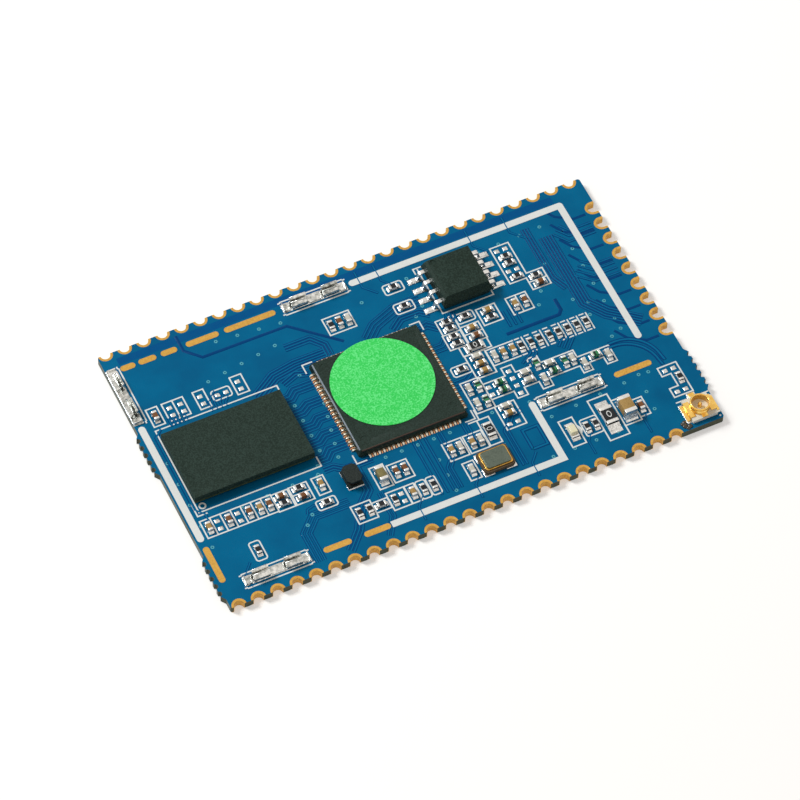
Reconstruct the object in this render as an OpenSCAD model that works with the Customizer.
/* [Board] */
// Length of the board
board_l = 52; // [52:0.5:60]
// Width of the board
board_w = 31.3; // [31.3:0.1:36]
// Thickness of the board
board_t = 0.8; // [0.8:0.1:1.6]
// Radius of the board's corners
corner_r = 0.25; // [0.1:0.05:0.4]
// How far the remains of the break-off tabs stand out
stub_l = 0.35; // [0.25:0.05:0.6]
// Distance between the perforations of a break-off tab
stub_pitch = 0.9; // [0.8:0.05:1]

/* [Edge pads] */
// Distance between neighbouring half holes
pad_pitch = 2; // [1.8:0.1:2.5]
// Radius of a half hole
pad_hole_r = 0.5; // [0.4:0.05:0.55]
// Outer radius of the pad around a half hole
pad_r = 0.75; // [0.7:0.05:0.85]
// Thickness of the plating in a half hole
plating_t = 0.06; // [0.04:0.01:0.1]

/* [Memory] */
// Length of the memory package
mem_l = 12.5; // [12:0.1:13]
// Width of the memory package
mem_w = 8; // [7.6:0.1:8.4]
// Height of the memory package over its solder balls
mem_h = 0.9; // [0.7:0.05:1.1]
// Height of the solder balls
ball_h = 0.3; // [0.25:0.05:0.4]
// Distance between the solder balls
ball_pitch = 0.8; // [0.7:0.05:0.85]

/* [Processor] */
// Side of the processor over its leads' ends
cpu_l = 12; // [11.6:0.1:12.4]
// Height of the processor
cpu_h = 0.85; // [0.7:0.05:1.2]
// Distance between the processor's leads
cpu_pitch = 0.5; // [0.4:0.05:0.5]
// Radius of the round label
label_r = 5.1; // [4.6:0.1:5.1]
// Thickness of the round label
label_t = 0.08; // [0.05:0.01:0.15]

/* [Flash memory] */
// Side of the flash memory's body
flash_l = 5.25; // [5:0.05:5.4]
// Height of the flash memory's top over the board
flash_h = 2; // [1.7:0.1:2.2]
// Distance between the flash memory's leads
flash_pitch = 1.27; // [1:0.01:1.3]
// Thickness of the flash memory's leads
flash_lead_t = 0.2; // [0.15:0.01:0.25]

/* [Shield clips] */
// Length of a shield clip
clip_l = 6.7; // [6.2:0.1:7]
// Width of a shield clip's base
clip_w = 0.95; // [0.9:0.05:1.1]
// Height of a shield clip's fingers
clip_h = 1.1; // [0.9:0.05:1.5]
// Thickness of a shield clip's sheet
clip_t = 0.12; // [0.08:0.01:0.15]

/* [Antenna connector] */
// Outer radius of the connector's ring
ring_r = 1; // [0.9:0.05:1.05]
// Height of the connector's ring over the board
ring_h = 1.25; // [1:0.05:1.6]
// Side of the connector's housing
housing_l = 2.65; // [2.5:0.05:2.7]
// Height of the connector's housing
housing_h = 0.45; // [0.4:0.05:0.6]

/* [Crystal and coil] */
// Length of the crystal
crystal_l = 3.2; // [3:0.05:3.4]
// Width of the crystal
crystal_w = 2.5; // [2.3:0.05:2.6]
// Height of the crystal
crystal_h = 0.75; // [0.6:0.05:0.9]
// Length of the coil's core
coil_l = 2.1; // [1.9:0.05:2.3]
// Width of the coil's core
coil_w = 1.6; // [1.5:0.05:1.8]
// Height of the coil
coil_h = 1.05; // [0.9:0.05:1.3]

/* [Small parts] */
// Length of the smallest chip parts
chip_l = 1; // [0.95:0.01:1.05]
// Width of the smallest chip parts
chip_w = 0.5; // [0.45:0.01:0.55]
// Height of the smallest capacitors
chip_h = 0.5; // [0.4:0.01:0.6]
// Height of the smallest resistors
res_h = 0.35; // [0.3:0.01:0.45]
// Height of the tall capacitor beside the antenna connector
tall_h = 1.25; // [1:0.05:1.5]

/* [Board surface] */
// Thickness of the solder lands
land_t = 0.05; // [0.04:0.01:0.06]
// Thickness of the bare metal strips
strip_t = 0.03; // [0.02:0.01:0.05]
// Thickness of the print
print_t = 0.03; // [0.02:0.01:0.05]
// Width of the thin printed lines
line_w = 0.14; // [0.1:0.01:0.16]
// Width of the thick printed lines that show where the shield stands
guide_w = 0.7; // [0.6:0.05:0.75]

/* [Hidden] */
$fn = 32;

// ---- Places on the board, measured from its near left corner ----

// The layout is drawn for a board 31.3 mm wide, and spreads or closes up with the board's own width.
spread = board_w / 31.3;
function off(u, v) = [u, spread * v];

// The wall of the missing shield runs on these lines, with a step beside the antenna connector.
wall_left = 0.55;
wall_near = 2.15 * spread;
wall_far = board_w - 2.2 * spread;
wall_right = board_l - 3.25;
step = off(35.8, 8.65);

mem_near = off(1.65, 11.9);
mem_at = mem_near + [mem_l, mem_w] / 2;
mem_far = mem_near + [0, mem_w];
cpu_near = [mem_near[0] + mem_l + 3.7 + cpu_l, 10 * spread];
cpu_at = cpu_near + [-cpu_l, cpu_l] / 2;
cpu_far = [cpu_at[0], board_w];
flash_at = [cpu_near[0] + 5.55, board_w - 6.4 * spread];
crystal_at = step + off(-6.05, -4.05);
coil_at = off(16.4, 8.4);
led_at = step + off(2.1, -4.2);
connector_at = [board_l - 1.8, 1.8];
near_left = [0, 0];
near_right = [board_l, 0];

// ---- Edge pads ----

pad_start = 0.85;
pad_rest_far = 0.8;
pad_rest_near = 4.5;
pads_far = floor((board_l - pad_start - pad_rest_far) / pad_pitch) + 1;
pads_near = floor((board_l - pad_start - pad_rest_near) / pad_pitch) + 1;
pads_right_top = board_w - 3.8;
pads_right_low = 10.5;
pads_right = floor((pads_right_top - pads_right_low) / pad_pitch) + 1;
pad_inset = 0.42;
flange_t = 0.06;
pad_proud = 0.02;

// ---- Break-off tabs: five perforations leave four nubs on each stub ----

stub_holes = 5;
stub_hole_r = 0.28;
stub_flare = 0.35;
stubs_left = [3.7, 19];
stub_right = 6.12;

// ---- Chip parts: [length, width, height, length of a metal end, toe of the solder] ----

end_wall = 0.02;
chip_end = 0.25;
chip_cap = [chip_l, chip_w, chip_h, chip_end, 0.2];
chip_res = [chip_l, chip_w, res_h, chip_end, 0.2];
medium_cap = [1.6, 0.8, 0.8, 0.32, 0.25];
link = [1.6, 0.8, 0.45, 0.3, 0.25];
large_link = [2, 1.25, 0.55, 0.38, 0.9];
tall_cap = [2, 1.25, tall_h, 0.42, 0.3];
led = [1.6, 0.8, 0.3, 0.3, 0.25];
glaze_t = 0.03;
heel = 0.05;

// Small parts by group: [kind, along, across, quarter turns], from the group's own corner
chips_memory_far = [["brown", 0.65, 2.7, 1]];
chips_memory_near = [
    ["tan", 0.15, -2.95, 1], ["brown", 2.2, -2.95, 1], ["brown", 4.3, -2.95, 1],
    ["tan", 5.4, -2.95, 1], ["brown", 6.4, -2.95, 1],
    ["brown", 7.75, -2.6, 0], ["res", 7.75, -3.4, 0],
    ["res", 9.7, -2.4, 0], ["brown", 9.7, -3.45, 0], ["tan", 11.8, -2.9, 1]
];
chips_near_row = [
    ["res", 13.1, 6.9, 0], ["res", 4.95, 4.75, 1],
    ["res", 15.4, 4.5, 1], ["res", 16.45, 4.5, 1], ["res", 17.7, 4.5, 0],
    ["res", 19.1, 4.5, 1], ["tan", 21, 4.5, 1], ["res", 22.1, 4.5, 1],
    ["res", 23.15, 4.5, 1], ["white", 27.2, 4.5, 1],
    ["brown", 20.55, 7.3, 1], ["brown", 21.45, 7.3, 1],
    ["tan", 26.4, 7.3, 1], ["white", 27.3, 7.3, 1],
    ["tan", 28.6, 7.3, 1], ["white", 29.45, 7.3, 1]
];
chips_cpu_right = [
    ["white", 3.5, -0.25, 0], ["tan", 3.5, -1.15, 0],
    ["white", 1.15, 2.95, 1], ["white", 1.15, 1.1, 1],
    ["coil", 2.1, 2.95, 1], ["coil", 2.1, 1.1, 3],
    ["coil", 4.2, 2.45, 0], ["coil", 4.2, 1.55, 0],
    ["white", 6.9, 2.45, 0], ["white", 6.9, 1.55, 0],
    ["coil", 8.35, 2.95, 1], ["white", 8.3, 1.05, 1],
    ["white", 9.55, 2.45, 0], ["coil", 9.6, 1.5, 0],
    ["coil", 11, 2.05, 1], ["white", 11.8, 2.05, 1],
    ["white", 12.65, 1.05, 1], ["coil", 14.05, 1.5, 2], ["white", 15.2, 1.05, 1],
    ["white", 3.5, 6.1, 0], ["tan", 3.5, 5.2, 0], ["tan", 3.5, 4.3, 0],
    ["res", 1.5, 5.35, 0],
    ["white", 5.1, 5.45, 1], ["tan", 6.05, 5.45, 1], ["tan", 7.05, 5.45, 1],
    ["res", 7.95, 5.45, 1], ["res", 9, 5.45, 1], ["res", 9.9, 5.45, 1],
    ["res", 11, 5.45, 1], ["res", 11.95, 5.45, 1], ["res", 12.95, 5.45, 1],
    ["res", 13.95, 5.45, 1], ["res", 14.95, 5.45, 1],
    ["res", 2.6, 10.95, 0], ["res", 2.6, 10.15, 0],
    ["res", 2.5, 9.15, 0], ["res", 2.5, 8.3, 0],
    ["res", 4.55, 10.87, 0], ["tan", 4.55, 9.37, 0], ["brown", 4.55, 8.35, 0],
    ["tan", 6.85, 10.6, 0], ["res", 6.85, 9.75, 0],
    ["tan", 9.6, 10.15, 1], ["brown", 10.65, 10.15, 1]
];
chips_cpu_far = [["res", -1.75, -6, 1], ["brown", -0.85, -6, 1], ["white", 0.05, -6, 1]];
chips_flash = [
    ["res", -5.85, 2, 0], ["res", -5.85, -0.5, 0],
    ["res", 5.75, 0.8, 0], ["res", 5.75, -0.05, 0], ["res", 5.75, -1.8, 0],
    ["res", 7.45, -2.45, 0], ["brown", 7.5, -3.4, 0]
];
chips_step = [["res", 3.6, -4.3, 1], ["res", 4.5, -4.3, 1], ["brown", 9.4, -4.3, 1]];
chips_right = [["res", -1.85, 5.85, 1]];
links = [placed([0, 30.7, 7.87, 1], near_left), placed([0, 3.87, 7.27, 0], cpu_near)];
large_link_at = step + off(6.03, -4.1);
tall_cap_at = step + off(7.95, -4.1);
medium_cap_at = off(19.05, 7.45);

chips = concat(
    from_corner(chips_memory_far, mem_far), from_corner(chips_memory_near, mem_near),
    from_corner(chips_near_row, near_left), from_corner(chips_cpu_right, cpu_near),
    from_corner(chips_cpu_far, cpu_far), from_corner(chips_flash, flash_at),
    from_corner(chips_step, step), from_corner(chips_right, near_right)
);

// Lands without a part, from the same corners
land_l = 0.5;
land_w = 0.44;
bare_memory_far = [
    [2.3, 3.15], [2.3, 2.25], [3.45, 3.15], [3.45, 2.25],
    [5.5, 3.15], [5.5, 2.25], [9.5, 3.25], [9.5, 2.35], [7.1, 2.6], [8, 2.6]
];
bare_memory_near = [[1.15, -2.5], [1.15, -3.4], [3.25, -2.5], [3.25, -3.4]];
bare_near_row = [[19.95, 4.95], [19.95, 4.05]];
bare_cpu_right = [
    [3, -2.2], [3.9, -2.2], [3, 2.45], [3, 1.55],
    [5.6, 3.35], [5.6, 2.45], [5.6, 1.55], [5.6, 0.6]
];
bare_flash = [[5.25, 1.75], [6.15, 1.75], [5.25, -0.9], [6.15, -0.9]];
bare_right = [[-2.8, 7.1], [-1.9, 7.1], [-2.8, 4.45], [-1.9, 4.45]];

function placed(p, corner) = [p[0], corner[0] + p[1], corner[1] + spread * p[2], p[3]];
function from_corner(list, corner) = [for (p = list) placed(p, corner)];
function kind(name) = [for (p = chips) if (p[0] == name) p];
function shift(list, corner) = [for (p = list) corner + off(p[0], p[1])];

// ---- Shared shapes ----

// A place on the board's top face, measured from its near left corner
module at(p, h = 0, turn = 0) {
    translate([p[0] - board_l / 2, p[1] - board_w / 2, board_t + h]) rotate(90 * turn) children();
}

// Every place of a list of chip parts
module each_chip(list) {
    for (p = list) at([p[1], p[2]], 0, p[3]) children();
}

// A box between two opposite corners
module block(a, b) {
    translate(a) cube(b - a);
}

// A profile drawn in width and height, run along the other level direction
module run(l) {
    rotate([90, 0, 0]) linear_extrude(l, center = true) children();
}

// A strip of sheet that follows a path, with its thickness to the left of the path
function side(path, i) = let (a = path[max(i - 1, 0)], b = path[min(i + 1, len(path) - 1)], d = b - a)
    [-d[1], d[0]] / norm(d);
function ribbon(path, t) = concat(path,
    [for (i = [len(path) - 1 : -1 : 0]) path[i] + t * side(path, i)]);

// An arc of a path about a centre
function arc(c, r, a0, a1, n = 6) =
    [for (i = [0 : n]) let (a = a0 + (a1 - a0) * i / n) c + r * [cos(a), sin(a)]];

// A flat bar on the board from one point to another, with round or square ends
module bar(a, b, w, t, round_ends = true) {
    lo = [min(a[0], b[0]), min(a[1], b[1])];
    hi = [max(a[0], b[0]), max(a[1], b[1])];
    along = (hi[0] - lo[0] > hi[1] - lo[1]) ? [1, 0] : [0, 1];
    across = [1, 1] - along;
    at([0, 0]) {
        block([each lo - across * w / 2, 0], [each hi + across * w / 2, t]);
        if (round_ends) for (p = [lo, hi]) translate([each p, 0]) cylinder(r = w / 2, h = t);
    }
}

// A printed line that joins the points of a path with square corners
module line(path, w = line_w) {
    at([0, 0]) for (i = [1 : len(path) - 1]) {
        a = path[i - 1];
        b = path[i];
        block([min(a[0], b[0]) - w / 2, min(a[1], b[1]) - w / 2, 0],
            [max(a[0], b[0]) + w / 2, max(a[1], b[1]) + w / 2, print_t]);
    }
}

// A printed box, from two opposite corners
module frame(b, corner = [0, 0]) {
    p = corner + off(b[0], b[1]);
    q = corner + off(b[2], b[3]);
    at([0, 0]) difference() {
        block([each p - [line_w, line_w] / 2, 0], [each q + [line_w, line_w] / 2, print_t]);
        block([each p + [line_w, line_w] / 2, -1], [each q - [line_w, line_w] / 2, 1]);
    }
}

// A flat plate with round corners
module round_plate(l, w, r, t) {
    translate([-l / 2 + r, -w / 2, 0]) cube([l - 2 * r, w, t]);
    translate([-l / 2, -w / 2 + r, 0]) cube([l, w - 2 * r, t]);
    for (x = [-1, 1], y = [-1, 1])
        translate([x * (l / 2 - r), y * (w / 2 - r), 0]) cylinder(r = r, h = t);
}

// A printed box with round corners
module round_frame(b, corner = [0, 0]) {
    l = b[2] - b[0];
    w = spread * (b[3] - b[1]);
    at(corner + off(b[0] + b[2], b[1] + b[3]) / 2) difference() {
        round_plate(l + line_w, w + line_w, 0.25 + line_w / 2, print_t);
        translate([0, 0, -1]) round_plate(l - line_w, w - line_w, 0.25 - line_w / 2, 2);
    }
}

// A block whose four sides lean inward from the level where it is widest
module moulded(l, w, low, wide, top, lean_low, lean_top) {
    intersection() {
        run(w + 1) polygon([
            [-l / 2 + lean_low, low], [l / 2 - lean_low, low], [l / 2, wide],
            [l / 2 - lean_top, top], [-l / 2 + lean_top, top], [-l / 2, wide]
        ]);
        rotate(90) run(l + 1) polygon([
            [-w / 2 + lean_low, low], [w / 2 - lean_low, low], [w / 2, wide],
            [w / 2 - lean_top, top], [-w / 2 + lean_top, top], [-w / 2, wide]
        ]);
    }
}

// ---- Board ----

// The five perforations of a broken tab, on a stub that widens towards the board
module stub() {
    reach = (stub_holes / 2) * stub_pitch;
    difference() {
        linear_extrude(board_t) polygon([
            [0.1, -reach - stub_flare], [0, -reach - stub_flare], [-stub_l, -reach + stub_hole_r / 2],
            [-stub_l, reach - stub_hole_r / 2], [0, reach + stub_flare], [0.1, reach + stub_flare]
        ]);
        for (i = [0 : stub_holes - 1])
            translate([-stub_l, (i - (stub_holes - 1) / 2) * stub_pitch, -1])
                cylinder(r = stub_hole_r, h = board_t + 2);
    }
}

// Repeats a piece at every half hole of one edge
module each_far_pad() {
    for (i = [0 : pads_far - 1]) at([pad_start + i * pad_pitch, board_w], -board_t, 2) children();
}

module each_near_pad() {
    for (i = [0 : pads_near - 1]) at([pad_start + i * pad_pitch, 0], -board_t) children();
}

module each_right_pad() {
    for (i = [0 : pads_right - 1])
        at([board_l - pad_inset, pads_right_top - i * pad_pitch], -board_t, 1) children();
}

// The room that a pad's barrel and its two flanges take in the board
module pad_room(open = 0) {
    barrel_r = pad_hole_r + plating_t;
    for (c = [[barrel_r, -1, board_t + 1], [pad_r, -1, flange_t],
            [pad_r, board_t + pad_proud - flange_t, board_t + 1]]) {
        translate([0, 0, c[1]]) cylinder(r = c[0], h = c[2] - c[1]);
        if (open > 0) block([-c[0], -open, c[1]], [c[0], 0, c[2]]);
    }
}

module circuit_board() {
    color("#0d5c8f") difference() {
        union() {
            round_plate(board_l, board_w, corner_r, board_t);
            for (v = stubs_left) at([0, v], -board_t) stub();
            at([board_l, stub_right], -board_t, 2) stub();
        }
        each_far_pad() pad_room();
        each_near_pad() pad_room();
        each_right_pad() pad_room(open = pad_inset + 1);
    }
}

// The plating of a half hole: a barrel between two flanges
function pad_profile() = [
    [pad_hole_r, 0], [pad_r, 0], [pad_r, flange_t], [pad_hole_r + plating_t, flange_t],
    [pad_hole_r + plating_t, board_t + pad_proud - flange_t],
    [pad_r, board_t + pad_proud - flange_t], [pad_r, board_t + pad_proud],
    [pad_hole_r, board_t + pad_proud]
];

module edge_pad() {
    rotate_extrude(angle = 180) polygon(pad_profile());
}

// A pad set back from the edge, with straight sides that run out to it
module deep_edge_pad() {
    edge_pad();
    for (m = [0, 1]) mirror([m, 0, 0])
        translate([0, -pad_inset / 2, 0]) run(pad_inset) polygon(pad_profile());
}

module edge_pads_far() {
    color("#d9a441") each_far_pad() edge_pad();
}

module edge_pads_near() {
    color("#d9a441") each_near_pad() edge_pad();
}

module edge_pads_right() {
    color("#d9a441") each_right_pad() deep_edge_pad();
}

// Bare gold strips where the missing shield would be soldered
strip_w = 0.65;
module strip(a, b) {
    bar(a, b, strip_w, strip_t);
}

module ground_strips() {
    end = strip_w / 2;
    color("#e6af46") {
        for (s = [[1.5, 3.05], [3.4, 5.25], [5.75, 7.45], [8.4, 11.85], [12.45, 17.9]])
            strip([s[0] + end, wall_far], [s[1] - end, wall_far]);
        for (s = [[10.55, 13.45], [14.8, 17.55]])
            strip([s[0] + end, wall_near], [s[1] - end, wall_near]);
        strip([wall_left, 2.9 * spread + end], [wall_left, 7.2 * spread - end]);
        strip([step[0] + 8.7 + end, step[1]], [step[0] + 12.7 - end, step[1]]);
    }
}

// The four clips: middle and quarter turns
clip_far = [22.05, wall_far];
clip_left = [wall_left, wall_far - 3.15 * spread];
clip_near = [5.7, wall_near];
clip_step = step + [4, 0];
clips = [[clip_far, 0], [clip_left, 1], [clip_near, 0], [clip_step, 0]];

// One end of a chip part's solder: a land under the part and a fillet up its end
module solder_end(s) {
    end = s[0] / 2;
    out = end + s[4];
    run(s[1]) polygon([
        [end - s[3] - heel, 0], [out, 0], [out, land_t], [end + 0.17, land_t],
        [end + 0.06, land_t + s[2] / 5], [end, land_t + s[2] * 0.55],
        [end, land_t], [end - s[3] - heel, land_t]
    ]);
}

module solder_joints(s) {
    for (m = [0, 1]) mirror([m, 0, 0]) solder_end(s);
}

module land(p, l = land_l, w = land_w) {
    at(p) block([-l / 2, -w / 2, 0], [l / 2, w / 2, land_t]);
}

module solder_lands() {
    color("#d8dce0") {
        for (p = chips) at([p[1], p[2]], 0, p[3])
            solder_joints(p[0] == "res" ? chip_res : chip_cap);
        for (p = links) at([p[1], p[2]], 0, p[3]) solder_joints(link);
        at(large_link_at, 0, 1) solder_joints(large_link);
        at(tall_cap_at, 0, 1) solder_joints(tall_cap);
        at(medium_cap_at, 0, 1) solder_joints(medium_cap);
        at(led_at, 0, 1) solder_joints(led);
        for (p = concat(shift(bare_memory_far, mem_far), shift(bare_memory_near, mem_near),
                shift(bare_near_row, near_left), shift(bare_cpu_right, cpu_near),
                shift(bare_flash, flash_at), shift(bare_right, near_right))) land(p);
        for (c = clips) at(c[0], 0, c[1])
            block([-clip_l / 2 - 0.1, -clip_w / 2 - 0.04, 0], [clip_l / 2 + 0.1, clip_w / 2 + 0.04, land_t]);
        for (m = [0, 2], i = [-1.5 : 1.5])
            at(flash_at, 0, m) translate([0, i * flash_pitch, 0]) flash_land();
        for (x = [-1, 1], y = [-1, 1])
            at(crystal_at + [x * (crystal_l / 2 - 0.45), y * (crystal_w / 2 - 0.4)])
                block([-0.55, -0.5, 0], [0.55, 0.5, land_t]);
        for (y = [-1, 1]) at(coil_at + [0, y * (coil_l / 2 - 0.25)])
            block([-coil_w / 2, -0.3, 0], [coil_w / 2, 0.35, land_t]);
        at(connector_at) {
            for (x = [-1, 1]) block([x * 1.55 - 0.23, -1.1, 0], [x * 1.55 + 0.23, 1.1, land_t]);
            block([-0.45, housing_l / 2 - 0.1, 0], [0.45, housing_l / 2 + 0.7, land_t]);
        }
    }
}

// ---- Print ----

module shield_guide_print() {
    white = guide_w;
    clear = clip_l / 2 + 0.4 + white / 2;
    color("white") {
        bar([clip_far[0] + clear, wall_far], [wall_right, wall_far], white, print_t);
        bar([wall_right, wall_far], [wall_right, 11.95 * spread], white, print_t);
        bar([wall_left, clip_left[1] - clear], [wall_left, 7.85 * spread + white / 2], white, print_t);
        bar([17.65, wall_near], [step[0] + white / 2, wall_near], white, print_t, false);
        bar([step[0], wall_near], [step[0], step[1] + 0.25], white, print_t);
    }
}

// An L-shaped corner mark; x and y are the lengths of its arms and their directions
module corner_mark(p, x, y) {
    line([p + [x, 0], p, p + [0, y]]);
}

// Thin lines on both sides of a clip, bent inward at their ends
module clip_lines(sides) {
    for (s = sides) {
        y = s * (clip_w / 2 + 0.35);
        half = clip_l / 2 + 0.3;
        block([-half + 0.3, y - line_w / 2, 0], [half - 0.3, y + line_w / 2, print_t]);
        for (x = [-1, 1]) translate([x * (half - 0.2), y - s * 0.1, 0])
            block([-0.15, -line_w / 2, 0], [0.15, line_w / 2, print_t]);
    }
}

module memory_print() {
    far = mem_far + [0, 1.25];
    near = mem_near + [0, -0.95];
    line([far + [12.75, -0.65], far + [12.75, 0], far, near, near + [12.75, 0], near + [12.75, 1.1]]);
    line([near + [-0.3, 1.1], near + [-0.3, -0.35], near + [0.65, -0.35]]);
    at(near + [0.6, 0.58]) difference() {
        cylinder(r = 0.38, h = print_t);
        translate([0, 0, -1]) cylinder(r = 0.22, h = 2);
    }
}

module processor_print() {
    half = cpu_l / 2 + 0.26;
    for (x = [-1, 1], y = [-1, 1]) corner_mark(cpu_at + half * [x, y], -x, -y);
    corner_mark(cpu_at + (half + 0.28) * [1, -1], -1.2, 1.2);
}

module flash_print() {
    l = flash_at + [-flash_l / 2 - 0.15, 0];
    r = flash_at + [flash_l / 2 + 0.1, 0];
    line([l + [0, 3], l + [0, -2.75], r + [0, -2.75], r + [0, -2.15]]);
    corner_mark(l + [-0.4, 3.2], 1, -0.6);
}

module connector_print() {
    for (x = [-1.75, 1.15]) at(connector_at + [x, 1.5])
        block([0, -line_w / 2, 0], [0.6, line_w / 2, print_t]);
    line(shift([[-3.35, 7.65], [-1.35, 7.65], [-1.35, 3.95], [-3.35, 3.95], [-3.35, 5.05],
        [-2.4, 5.05], [-2.4, 6.6], [-3.35, 6.6], [-3.35, 7.65]], near_right));
    at(near_right + [-0.3, 0.3]) cylinder(r = 0.1, h = print_t);
}

// The light diode's box and the filled triangle that shows its direction
module led_print() {
    frame([-0.75, -1.6, 0.7, 1.6], led_at);
    at(led_at) linear_extrude(print_t)
        polygon([[0.75, -0.6], [0.75, 0.6], [1.1, 0]]);
}

module outline_print() {
    color("white") {
        for (b = [[0.1, 1.7, 1.25, 3.85], [1.75, 1.7, 3.95, 3.85], [5, 1.7, 6.1, 3.85],
                [8.95, 1.8, 10.15, 3.95]]) frame(b, mem_far);
        line(shift([[2.85, 1.7], [2.85, 3.85]], mem_far));
        round_frame([6.6, 2.05, 8.5, 3.2], mem_far);
        frame([-0.4, -3.95, 6.95, -1.9], mem_near);
        for (i = [1 : 6])
            line(shift([[1.05 * i - 0.4, -3.95], [1.05 * i - 0.4, -1.9]], mem_near));
        for (b = [[6.95, -4.05, 8.65, -2], [8.8, -2.95, 10.65, -1.95], [8.8, -4.05, 10.65, -2.95],
                [11.2, -3.95, 12.4, -1.9]]) frame(b, mem_near);
        for (b = [[12.1, 6.35, 14.1, 7.45], [4.4, 3.65, 5.5, 5.85], [21.6, 3.45, 22.6, 5.55],
                [22.7, 3.45, 23.65, 5.55]]) round_frame(b);
        for (b = [[14.9, 3.45, 16.9, 5.55], [16.9, 3.9, 18.55, 5.1], [18.6, 3.45, 20.45, 5.55],
                [20.5, 3.45, 21.5, 5.55], [26.65, 3.45, 27.8, 5.55], [20, 6.25, 22.05, 8.35],
                [18.35, 6.15, 19.75, 8.75], [25.85, 6.25, 27.85, 8.35], [28.05, 6.25, 30, 8.35],
                [30.1, 6.3, 31.35, 9.45]]) frame(b);
        for (b = [[2.5, -2.75, 4.55, 0.15], [0.65, 0.15, 2.65, 3.95], [2.45, 3.8, 4.55, 6.65],
                [2.4, 6.7, 5.4, 7.85], [1.55, 7.85, 3.45, 9.7], [1.65, 9.7, 3.55, 11.55],
                [3.55, 8.9, 5.5, 9.9], [3.55, 7.85, 5.5, 8.9], [5.85, 9.15, 7.85, 11.2],
                [9.05, 9.1, 11.2, 11.2]]) frame(b, cpu_near);
        for (b = [[3.6, 10.3, 5.5, 11.45], [0.55, 4.8, 2.45, 5.95]]) round_frame(b, cpu_near);
        line(shift([[10.1, 9.1], [10.1, 11.2]], cpu_near));
        radio_print();
        row_print();
        frame([-2.25, -7, 0.55, -4.95], cpu_far);
        for (b = [[-6.85, 1.4, -4.85, 2.6], [-6.85, -1.1, -4.85, 0.1]]) round_frame(b, flash_at);
        flash_right_print();
        for (b = [[4.98, -6.6, 7.07, -1.6], [7.07, -5.65, 8.85, -2.5], [8.85, -5.35, 9.95, -3.25]])
            frame(b, step);
        round_frame([3.2, -5.3, 4.98, -3.3], step);
        for (c = [[clip_far, 0, [-1, 1]], [clip_left, 1, [-1]], [clip_near, 0, [-1, 1]],
                [clip_step, 0, [-1, 1]]]) at(c[0], 0, c[1]) clip_lines(c[2]);
        memory_print();
        processor_print();
        flash_print();
        connector_print();
        led_print();
    }
}

// The stepped outline round the radio's filter parts
module radio_print() {
    far = [[2.65, 3], [5.05, 3], [5.05, 3.95], [6.15, 3.95], [6.15, 3], [7.8, 3], [7.8, 3.9],
        [8.85, 3.9], [8.85, 3], [12.35, 3], [12.35, 2.1], [15.75, 2.1], [15.75, 0.15],
        [14.7, 0.15], [14.7, 1.05], [13.15, 1.05], [13.15, 0.15], [12.15, 0.15], [12.15, 1.05],
        [8.85, 1.05], [8.85, 0.1], [7.75, 0.1], [7.75, 1.05], [6.15, 1.05], [6.15, 0.15],
        [5.05, 0.15], [5.05, 1.05], [2.65, 1.05]];
    line(shift(far, cpu_near));
}

// The long row beside the processor: a closed part at its left, then a mark for each resistor
module row_print() {
    line(shift([[7.5, 4.5], [4.6, 4.5], [4.6, 6.45], [7.5, 6.45]], cpu_near));
    for (u = [8.47, 10.45, 12.45, 13.45, 14.45, 15.45])
        line(shift([[u, 4.5], [u, 6.45]], cpu_near));
    for (u = [7.95, 9, 9.9, 11, 11.95, 12.95, 13.95, 14.95], v = [4.5, 6.45])
        line(shift([[u - 0.2, v], [u + 0.2, v]], cpu_near));
}

module flash_right_print() {
    line(shift([[4.75, 2.3], [4.75, -2.3], [6.5, -2.3], [6.5, -3.85], [8.45, -3.85], [8.45, -1.8],
        [6.75, -1.8], [6.75, 2.3], [4.75, 2.3]], flash_at));
    line(shift([[6.5, -2.9], [8.45, -2.9]], flash_at));
}

// ---- Memory ----

substrate_t = 0.22;

module memory_balls() {
    neck = 0.17;
    belly = 0.23;
    color("#c9ccd0") for (row = [-7 : 7], col = [-4, -3, -2, 2, 3, 4])
        at(mem_at + ball_pitch * [row, col]) rotate_extrude() polygon([
            [0, 0], [neck, 0], [belly, ball_h * 0.35], [belly, ball_h * 0.65], [neck, ball_h], [0, ball_h]
        ]);
}

module memory_substrate() {
    color("#3d4638") at(mem_at, ball_h)
        block([-mem_l / 2, -mem_w / 2, 0], [mem_l / 2, mem_w / 2, substrate_t]);
}

module memory_body() {
    dot_r = 0.42;
    color("#2c3532") at(mem_at, ball_h) difference() {
        block([-mem_l / 2, -mem_w / 2, substrate_t], [mem_l / 2, mem_w / 2, mem_h]);
        translate([-mem_l / 2 + 1.15, -mem_w / 2 + 1.25, mem_h - 0.02]) cylinder(r = dot_r, h = 1);
    }
}

// ---- Processor ----

cpu_case = cpu_l - 0.4;
lead_t = 0.2;
lead_w = 0.2;
inner_w = 0.14;
inner_t = lead_t - 0.05;
lead_toe = 0.16;
lead_root = cpu_case / 2 - 0.4;
inner_root = cpu_case / 2 - 0.8;
outer_leads = 20;
inner_leads = 19;
body_gap = 0.05;

module each_side() {
    for (q = [0 : 3]) at(cpu_at, 0, q) children();
}

module each_lead(n) {
    for (i = [0 : n - 1]) translate([0, (i - (n - 1) / 2) * cpu_pitch, 0]) children();
}

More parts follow.
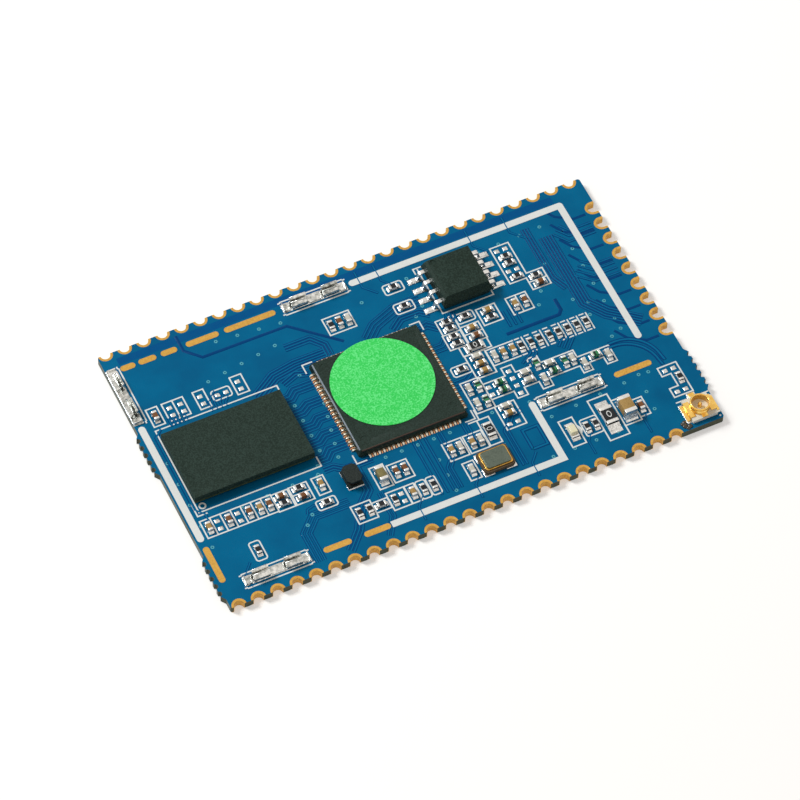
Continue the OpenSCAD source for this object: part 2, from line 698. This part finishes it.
module processor_body() {
    corner = 0.2;
    cut = (cpu_case - corner) * sqrt(2);
    color("#28302f") difference() {
        at(cpu_at) intersection() {
            moulded(cpu_case, cpu_case, body_gap, lead_t, cpu_h, 0, 0.25);
            rotate(45) translate([-cut / 2, -cut / 2, 0]) cube([cut, cut, cpu_h + 1]);
        }
        each_side() {
            each_lead(outer_leads) block([lead_root, -lead_w / 2, 0], [cpu_l, lead_w / 2, lead_t]);
            each_lead(inner_leads) block([inner_root, -inner_w / 2, 0], [cpu_l, inner_w / 2, inner_t]);
        }
        for (x = [-1, 1], y = [-1, 1]) at(cpu_at + (cpu_case / 2 - 1.2) * [x, y], cpu_h - 0.03)
            cylinder(r = 0.5, h = 1);
    }
}

module processor_outer_leads() {
    color("#d6c9a2") each_side() each_lead(outer_leads) run(lead_w)
        polygon([[lead_root, 0], [cpu_l / 2 + lead_toe, 0], [cpu_l / 2, lead_t], [lead_root, lead_t]]);
}

module processor_inner_leads() {
    color("#c98a3c") each_side() each_lead(inner_leads) run(inner_w)
        polygon([[inner_root, 0], [cpu_l / 2 + lead_toe, 0], [cpu_l / 2, inner_t], [inner_root, inner_t]]);
}

module processor_thermal_pad() {
    half = cpu_l * 0.24;
    color("#c9ccd0") at(cpu_at) block([-half, -half, 0], [half, half, body_gap]);
}

module round_label() {
    color("#3ce65a") at(cpu_at + [-0.25, 0.8], cpu_h) cylinder(r = label_r, h = label_t, $fn = 96);
}

// ---- Flash memory ----

flash_lead_w = 0.42;
flash_part = flash_h / 2;
flash_span = 4;
lead_bend = 0.1;
lead_lean = 12;

// The path of a lead's lower face: out of the body, round a bend, down, and round again to the land
function gull_path() = let (
        inner = lead_bend,
        outer = lead_bend + flash_lead_t,
        knee = [flash_l / 2 + 0.35, flash_part - flash_lead_t / 2 - inner],
        drop = knee[1] - land_t - outer + (inner + outer) * sin(lead_lean),
        foot = [knee[0] + (inner + outer) * cos(lead_lean) + drop * tan(lead_lean), land_t + outer]
    ) concat(
        [[flash_l / 2 - 0.5, knee[1] + inner]],
        arc(knee, inner, 90, lead_lean),
        arc(foot, outer, 180 + lead_lean, 270),
        [[flash_span, land_t]]
    );

module flash_lead() {
    run(flash_lead_w) polygon(ribbon(gull_path(), flash_lead_t));
}

module flash_land() {
    run(flash_lead_w + 0.22) polygon([
        [flash_l / 2 + 0.32, 0], [flash_span + 0.35, 0], [flash_span + 0.3, land_t],
        [flash_span, land_t + flash_lead_t * 0.7], [flash_span, land_t], [flash_l / 2 + 0.32, land_t]
    ]);
}

module flash_body() {
    lean = 0.3;
    bevel = 0.45;
    color("#343a3a") at(flash_at) difference() {
        moulded(flash_l, flash_l, 0.12, flash_part, flash_h, 0.22, lean);
        for (m = [0, 2], i = [-1.5 : 1.5]) rotate(90 * m) translate([0, i * flash_pitch, 0])
            block([flash_l / 2 - 0.5, -flash_lead_w / 2, flash_part - flash_lead_t / 2],
                [flash_l, flash_lead_w / 2, flash_part + flash_lead_t / 2]);
        translate([-flash_l / 2 + lean, 0, flash_h]) run(flash_l + 1)
            polygon([[-1, 1], [-1, -bevel], [-bevel * 0.6, -bevel], [bevel * 0.4, 0], [bevel * 0.4, 1]]);
        translate([-flash_l / 2 + 0.95, flash_l / 2 - 0.75, flash_h - 0.08]) cylinder(r = 0.33, h = 1);
    }
}

module flash_leads() {
    color("#d5d9dd") for (m = [0, 2], i = [-1.5 : 1.5])
        at(flash_at, 0, m) translate([0, i * flash_pitch, 0]) flash_lead();
}

// ---- Shield clips, each pressed from one sheet ----

finger_w = 1.7;
finger_at = 1.68;
finger_root = 0.2;
nip_at = 0.62;
nip_gap = 0.06;
mouth_gap = 0.3;

// Half the opening between the fingers at a share of their height
function finger_gap(s) = let (edge = clip_w / 2 - clip_t)
    s < nip_at ? nip_gap + (edge - nip_gap) * (1 + cos(180 * s / nip_at)) / 2
        : nip_gap + (mouth_gap - nip_gap) * (1 - cos(90 * (s - nip_at) / (1 - nip_at)));

function finger_path() = concat(
    [[clip_w / 2 - clip_t, 0]],
    [for (i = [0 : 12]) [finger_gap(i / 12), finger_root + (clip_h - land_t - finger_root) * i / 12]]
);

// Sheet metal to the right of a rising path
function finger_outline() = ribbon(finger_path(), -clip_t);

module shield_clip() {
    notch = 0.14;
    end_h = 0.32;
    difference() {
        block([-clip_l / 2, -clip_w / 2, 0], [clip_l / 2, clip_w / 2, clip_t]);
        for (x = [-1, 1], y = [-1, 1], f = [-1, 1])
            translate([x * finger_at + f * (finger_w + notch) / 2, y * clip_w / 2, 0])
                block([-notch / 2, -0.2, -1], [notch / 2, 0.2, 1]);
    }
    for (x = [-1, 1]) translate([x * (clip_l - clip_t) / 2, 0, 0])
        block([-clip_t / 2, -clip_w / 2, 0], [clip_t / 2, clip_w / 2, end_h]);
    for (x = [-1, 1], m = [0, 1]) translate([x * finger_at, 0, 0]) mirror([0, m, 0])
        rotate(90) run(finger_w) polygon(finger_outline());
}

module placed_clip(c) {
    color("#cfd3d6") at(c[0], land_t, c[1]) shield_clip();
}

module shield_clip_far() {
    placed_clip(clips[0]);
}

module shield_clip_left() {
    placed_clip(clips[1]);
}

module shield_clip_near() {
    placed_clip(clips[2]);
}

module shield_clip_step() {
    placed_clip(clips[3]);
}

// ---- Antenna connector ----

ring_wall = 0.16;
tab_t = 0.1;
tab_w = 1.8;
contact_r = 0.2;
contact_w = 0.6;

module antenna_housing() {
    half = housing_l / 2;
    color("#e9e6dc") at(connector_at) difference() {
        block([-half, -half, land_t], [half, half, housing_h]);
        cylinder(r = contact_r, h = 2);
        block([-contact_w / 2, 0, -1], [contact_w / 2, housing_l, land_t + tab_t]);
        block([-contact_w / 2, -contact_r, -1], [contact_w / 2, 0, land_t + tab_t]);
    }
}

// A turned ring with a groove that a plug snaps into, and formed tabs down both sides
module antenna_ring() {
    groove = ring_h - 0.3;
    r = ring_r;
    half = housing_l / 2;
    color("#e0b04a") at(connector_at) {
        rotate_extrude($fn = 64) polygon([
            [r - ring_wall, housing_h], [r, housing_h], [r, groove - 0.15], [r - 0.06, groove - 0.05],
            [r - 0.06, groove + 0.05], [r, groove + 0.15], [r, ring_h - 0.05], [r - 0.05, ring_h],
            [r - ring_wall + 0.04, ring_h], [r - ring_wall, ring_h - 0.04]
        ]);
        for (m = [0, 1]) mirror([m, 0, 0]) run(tab_w) polygon([
            [r - ring_wall, housing_h], [half, housing_h], [half, land_t], [half + 0.42, land_t],
            [half + 0.42, land_t + tab_t], [half + tab_t, land_t + tab_t],
            [half + tab_t, housing_h + tab_t], [r - ring_wall, housing_h + tab_t]
        ]);
        block([-0.3, -half, housing_h], [0.3, -r + ring_wall, housing_h + tab_t]);
    }
}

module antenna_contact() {
    color("#e8bd5a") at(connector_at) {
        translate([0, 0, land_t]) cylinder(r = contact_r, h = ring_h - 0.35 - land_t);
        translate([0, 0, ring_h - 0.35]) cylinder(r1 = contact_r, r2 = contact_r * 0.6, h = 0.1);
        block([-contact_w / 2, -contact_r, land_t], [contact_w / 2, housing_l / 2 + 0.6, land_t + tab_t]);
    }
}

// Baked flux beside the connector's near left corner
module flux_residue() {
    color("#3a352c") at(connector_at) for (p = [[-2.15, -1.25, 0.26, 0.2], [-2.05, -0.87, 0.24, 0.24],
            [-1.7, -1.4, 0.24, 0.22], [-1.95, -1.55, 0.2, 0.16], [-2.3, -0.95, 0.2, 0.15]])
        translate([p[0], p[1], 0]) rotate_extrude()
            polygon(concat([[0, 0]], arc([0, 0], p[2], 0, 30, 2), [[0, p[3]]]));
}

// ---- Crystal ----

crystal_base_h = crystal_h * 0.6;

module crystal_base() {
    color("#5a5348") at(crystal_at) difference() {
        block([-crystal_l / 2, -crystal_w / 2, land_t], [crystal_l / 2, crystal_w / 2, crystal_base_h]);
        for (x = [-1, 1], y = [-1, 1])
            translate([x * crystal_l / 2, y * crystal_w / 2, -1]) cylinder(r = 0.18, h = 3);
    }
}

module crystal_rim() {
    color("#d8a848") at(crystal_at, crystal_base_h)
        round_plate(crystal_l - 0.36, crystal_w - 0.36, 0.25, (crystal_h - crystal_base_h) / 2);
}

module crystal_lid() {
    low = crystal_base_h + (crystal_h - crystal_base_h) / 2;
    color("#7e8c86") at(crystal_at, low) round_plate(crystal_l - 0.6, crystal_w - 0.6, 0.3, crystal_h - low);
}

// ---- Wound coil ----

flange_h = 0.26;
coil_foot = land_t + 0.05;
turns = 4;

// The part of the core that carries the wire, cut down on all sides
module coil_neck(grow) {
    round_plate(coil_w * 0.55 + 2 * grow, coil_l * 0.6 + 2 * grow, 0.2 + grow, coil_h);
}

module coil_core() {
    top = coil_h - flange_h;
    chamfer = 0.35;
    cut = (coil_w + coil_l - 2 * chamfer) / sqrt(2);
    color("#24282a") at(coil_at) {
        block([-coil_w / 2, -coil_l / 2, coil_foot], [coil_w / 2, coil_l / 2, coil_foot + flange_h]);
        intersection() {
            coil_neck(0);
            block([-5, -5, coil_foot + flange_h], [5, 5, top]);
        }
        intersection() {
            block([-coil_w / 2, -coil_l / 2, top], [coil_w / 2, coil_l / 2, coil_h]);
            rotate(45) translate([-cut / 2, -cut / 2, 0]) cube([cut, cut, coil_h + 1]);
        }
    }
}

module coil_winding() {
    room = coil_h - 2 * flange_h - coil_foot;
    turn_h = room / turns;
    color("#8a5a3c") at(coil_at) difference() {
        for (i = [0 : turns - 1]) {
            translate([0, 0, coil_foot + flange_h + i * turn_h]) intersection() {
                coil_neck(0.12);
                block([-5, -5, 0], [5, 5, turn_h * 0.15]);
            }
            translate([0, 0, coil_foot + flange_h + (i + 0.15) * turn_h]) intersection() {
                coil_neck(0.17);
                block([-5, -5, 0], [5, 5, turn_h * 0.85]);
            }
        }
        coil_neck(0);
    }
}

module coil_terminals() {
    color("#d5d9dd") at(coil_at) for (y = [-1, 1]) translate([0, y * (coil_l / 2 - 0.2), 0])
        block([-coil_w / 2, -0.2, land_t], [coil_w / 2, 0.2, coil_foot]);
}

// ---- Chip parts ----

// The fired body of a capacitor, inside its metal ends
module ceramic(s) {
    w = end_wall;
    block([-s[0] / 2 + w, -s[1] / 2 + w, land_t + w], [s[0] / 2 - w, s[1] / 2 - w, land_t + s[2] - w]);
}

// Metal ends that wrap five sides of the body
module cup_ends(s) {
    difference() {
        for (m = [0, 1]) mirror([m, 0, 0])
            block([s[0] / 2 - s[3], -s[1] / 2, land_t], [s[0] / 2, s[1] / 2, land_t + s[2]]);
        ceramic(s);
    }
}

// The white slab of a resistor
module slab(s) {
    w = end_wall;
    block([-s[0] / 2 + w, -s[1] / 2, land_t + w], [s[0] / 2 - w, s[1] / 2, land_t + s[2] - w]);
}

// The dark glaze on the slab, between the metal ends
module glaze(s) {
    top = land_t + s[2] - end_wall;
    block([-s[0] / 2 + s[3], -s[1] / 2, top], [s[0] / 2 - s[3], s[1] / 2, top + glaze_t]);
}

// Metal ends that wrap the slab's top, end and underside
module wrapped_ends(s) {
    w = end_wall;
    x = s[0] / 2;
    h = s[2];
    for (m = [0, 1]) mirror([m, 0, 0]) translate([0, 0, land_t]) run(s[1]) polygon([
        [x - s[3], 0], [x, 0], [x, h], [x - s[3], h], [x - s[3], h - w], [x - w, h - w], [x - w, w], [x - s[3], w]
    ]);
}

module tan_capacitors() {
    color("#b39a66") each_chip(kind("tan")) ceramic(chip_cap);
}

module brown_capacitors() {
    color("#8c5f43") each_chip(kind("brown")) ceramic(chip_cap);
}

module white_capacitors() {
    color("#d9d6cc") each_chip(kind("white")) ceramic(chip_cap);
}

module capacitor_ends() {
    color("#d5d9dd") each_chip(concat(kind("tan"), kind("brown"), kind("white"))) cup_ends(chip_cap);
}

module resistor_bodies() {
    color("white") each_chip(kind("res")) slab(chip_res);
}

module resistor_glaze() {
    color("#1d2023") each_chip(kind("res")) glaze(chip_res);
}

module resistor_ends() {
    color("#d5d9dd") each_chip(kind("res")) wrapped_ends(chip_res);
}

module green_coils() {
    color("#3f8f5c") each_chip(kind("coil")) ceramic(chip_cap);
}

module green_coil_ends() {
    color("#d5d9dd") each_chip(kind("coil")) cup_ends(chip_cap);
}

module link_bodies() {
    color("white") each_chip(links) slab(link);
}

module link_glaze() {
    color("#1d2023") each_chip(links) glaze(link);
}

module link_ends() {
    color("#d5d9dd") each_chip(links) wrapped_ends(link);
}

module large_link_body() {
    color("white") at(large_link_at, 0, 1) slab(large_link);
}

module large_link_glaze() {
    color("#1d2023") at(large_link_at, 0, 1) glaze(large_link);
}

module large_link_ends() {
    color("#d5d9dd") at(large_link_at, 0, 1) wrapped_ends(large_link);
}

module tall_capacitor() {
    color("#a98d63") at(tall_cap_at, 0, 1) ceramic(tall_cap);
}

module tall_capacitor_ends() {
    color("#d5d9dd") at(tall_cap_at, 0, 1) cup_ends(tall_cap);
}

module medium_capacitor() {
    color("#8f8458") at(medium_cap_at, 0, 1) ceramic(medium_cap);
}

module medium_capacitor_ends() {
    color("#d5d9dd") at(medium_cap_at, 0, 1) cup_ends(medium_cap);
}

// ---- Light diode ----

module led_base() {
    color("#e8e8e0") at(led_at, 0, 1) slab(led);
}

module led_terminals() {
    color("#d5d9dd") at(led_at, 0, 1) wrapped_ends(led);
}

// Clear moulding over the diode
module led_lens() {
    low = land_t + led[2] - end_wall;
    color("#f2e8b0") at(led_at, 0, 1)
        moulded(led[0] - 2 * led[3], led[1], low, low + 0.04, low + 0.35, 0, 0.06);
}

circuit_board();
edge_pads_far();
edge_pads_near();
edge_pads_right();
ground_strips();
solder_lands();
shield_guide_print();
outline_print();
memory_substrate();
memory_body();
memory_balls();
processor_body();
processor_outer_leads();
processor_inner_leads();
processor_thermal_pad();
round_label();
flash_body();
flash_leads();
shield_clip_far();
shield_clip_left();
shield_clip_near();
shield_clip_step();
antenna_housing();
antenna_ring();
antenna_contact();
flux_residue();
crystal_base();
crystal_rim();
crystal_lid();
coil_core();
coil_winding();
coil_terminals();
led_base();
led_lens();
led_terminals();
tan_capacitors();
brown_capacitors();
white_capacitors();
capacitor_ends();
resistor_bodies();
resistor_glaze();
resistor_ends();
green_coils();
green_coil_ends();
link_bodies();
link_glaze();
link_ends();
large_link_body();
large_link_glaze();
large_link_ends();
tall_capacitor();
tall_capacitor_ends();
medium_capacitor();
medium_capacitor_ends();
